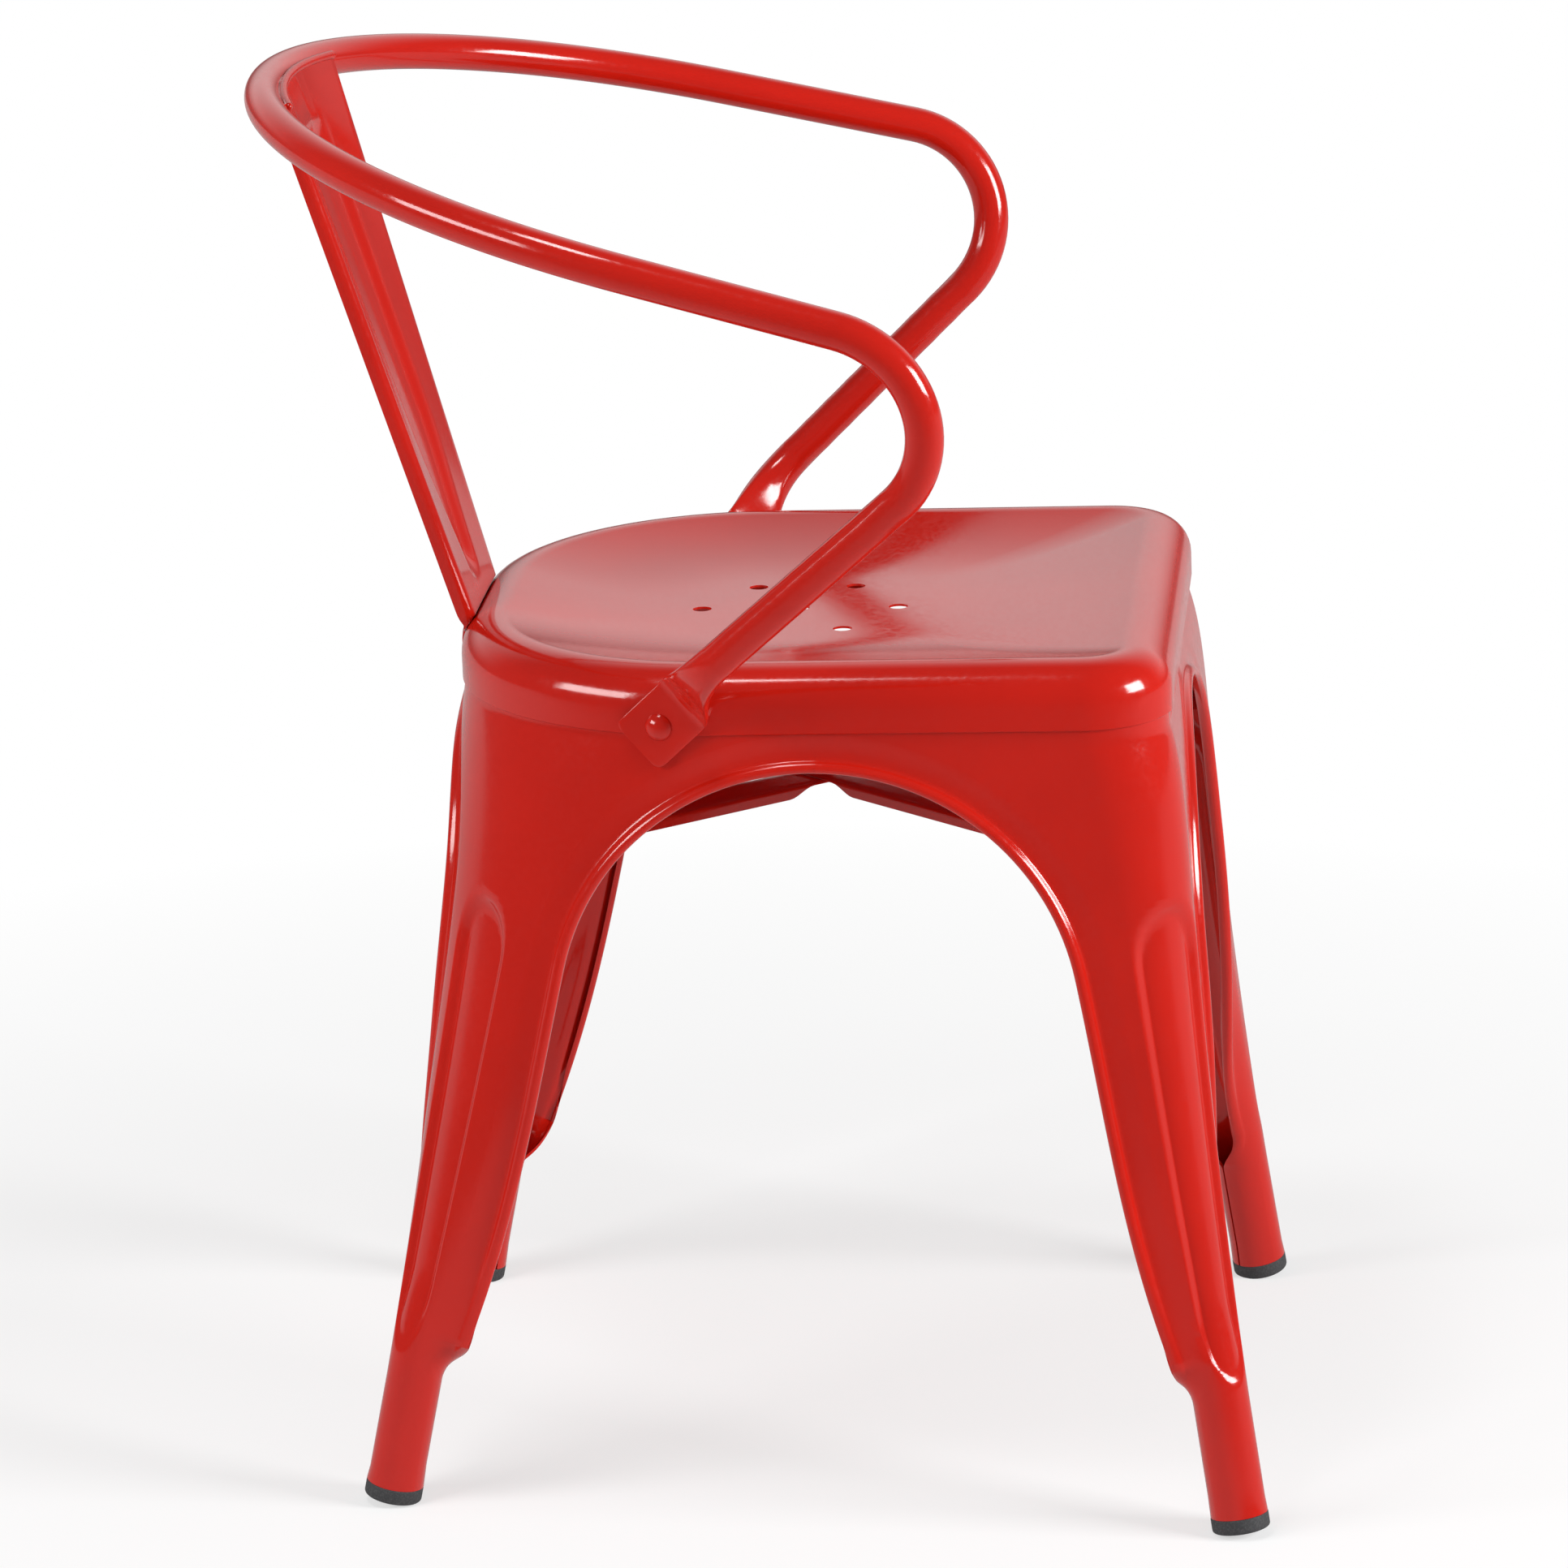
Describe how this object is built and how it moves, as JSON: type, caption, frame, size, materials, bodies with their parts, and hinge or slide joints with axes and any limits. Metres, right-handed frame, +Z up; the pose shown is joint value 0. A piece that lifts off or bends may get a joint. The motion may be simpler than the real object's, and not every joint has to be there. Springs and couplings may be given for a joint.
{
  "type": "metal armchair",
  "caption": "Pressed-steel armchair: dished D-shaped seat, arched sheet legs, one bent tube for back and arms, tapered back splat, gloss red coat.",
  "frame": {"origin": "on the floor, in the plane of symmetry, midway between the front of the front feet and the back of the rail", "axes": "+Z up, the chair faces -Y, +X is the sitter's left"},
  "size_m": [0.5594, 0.5303, 0.7225],
  "materials": {
    "red_coat": "gloss powder coat on steel, slight orange peel",
    "cap_rubber": "matt moulded rubber"
  },
  "bodies": {
    "root": {"seat_pan": "red_coat", "leg_front_left": "red_coat", "leg_front_right": "red_coat", "leg_rear_left": "red_coat", "leg_rear_right": "red_coat", "foot_cap_front_left": "cap_rubber", "foot_cap_front_right": "cap_rubber", "foot_cap_rear_left": "cap_rubber", "foot_cap_rear_right": "cap_rubber", "arm_rail": "red_coat", "arm_rivet_left": "red_coat", "arm_rivet_right": "red_coat", "back_splat": "red_coat", "splat_top_weld": "red_coat", "splat_tab_welds": "red_coat", "brace_strip_lower": "red_coat", "brace_strip_upper": "red_coat", "brace_rivet": "red_coat", "brace_end_welds": "red_coat"}
  },
  "joints": []
}
